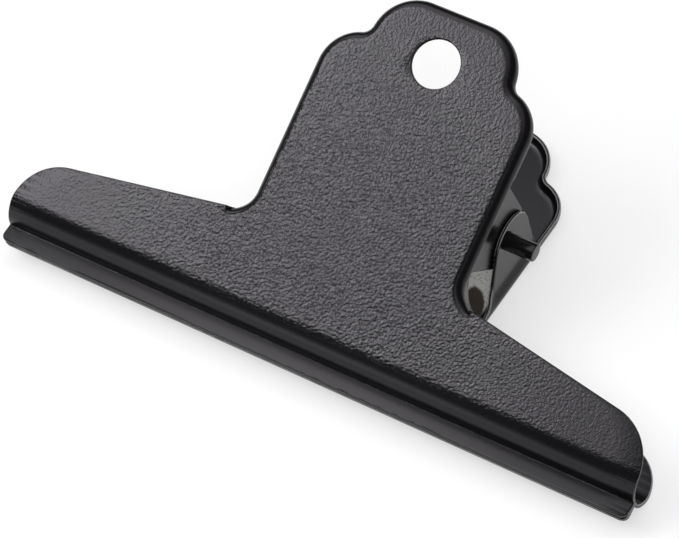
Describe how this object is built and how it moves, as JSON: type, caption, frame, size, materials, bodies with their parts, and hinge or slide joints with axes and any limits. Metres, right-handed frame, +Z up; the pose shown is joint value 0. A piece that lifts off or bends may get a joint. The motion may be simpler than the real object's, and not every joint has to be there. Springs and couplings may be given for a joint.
{
  "type": "bulldog clip",
  "caption": "Wide sprung paper clip: two pressed steel jaw plates hinged on a pin, closed by a bent leaf spring, with hanging holes in the handles.",
  "frame": {"origin": "centre of the footprint, on the plane that the back handle's outer face lies on", "axes": "+X along the jaws, +Y from the jaws to the back handle's top, +Z up from the back plate to the front plate"},
  "size_m": [0.1446, 0.0782, 0.0471],
  "materials": {
    "powder_coat": "satin, fine leather-like texture on the outer faces",
    "pin_coat": "gloss",
    "spring_plate": "bright nickel plate"
  },
  "bodies": {
    "back": {"back_plate": "powder_coat", "hinge_pin": "pin_coat", "leaf_spring": "spring_plate"},
    "front": {"front_plate": "powder_coat"}
  },
  "joints": [
    {"name": "jaw_hinge", "type": "hinge", "parent": "back", "child": "front", "pos_m": [0, 0.00236, 0.01569], "axis": [-1, 0, 0], "range_deg": [0, 50], "stiffness_Nm_per_rad": 0.5, "springref_deg": -68.75, "deforming": ["leaf_spring"]}
  ]
}
